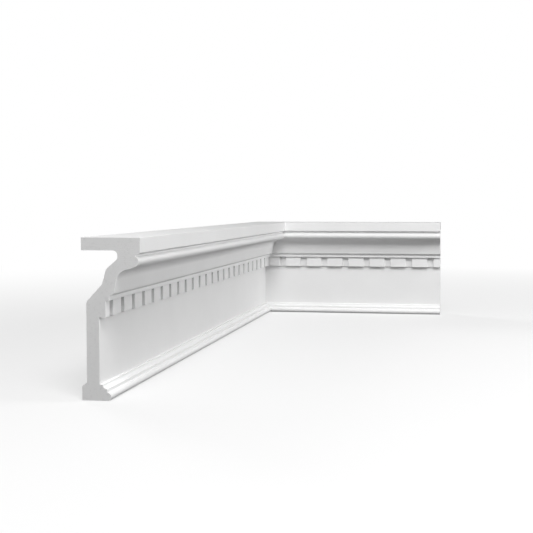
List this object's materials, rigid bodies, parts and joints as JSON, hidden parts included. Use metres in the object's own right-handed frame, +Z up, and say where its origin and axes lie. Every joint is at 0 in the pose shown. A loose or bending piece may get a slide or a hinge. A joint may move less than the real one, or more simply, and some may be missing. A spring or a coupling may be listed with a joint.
{
  "type": "dado rail moulding",
  "caption": "Hollow-backed wall rail moulding with a cove, dentils, a plain field and a stepped foot, mitred into an inside corner and cut square at its ends.",
  "frame": {"origin": "middle of the underside of the box that holds both lengths", "axes": "+Z up; +Y from the long length's square end to the corner, so its back faces -X; +X from the corner to the short length's square end, whose back faces +Y"},
  "size_m": [0.3086, 0.8844, 0.151],
  "materials": {
    "primed_foam": "matt white factory primer over rigid foam"
  },
  "bodies": {
    "root": {"long_length": "primed_foam", "short_length": "primed_foam"}
  },
  "joints": []
}
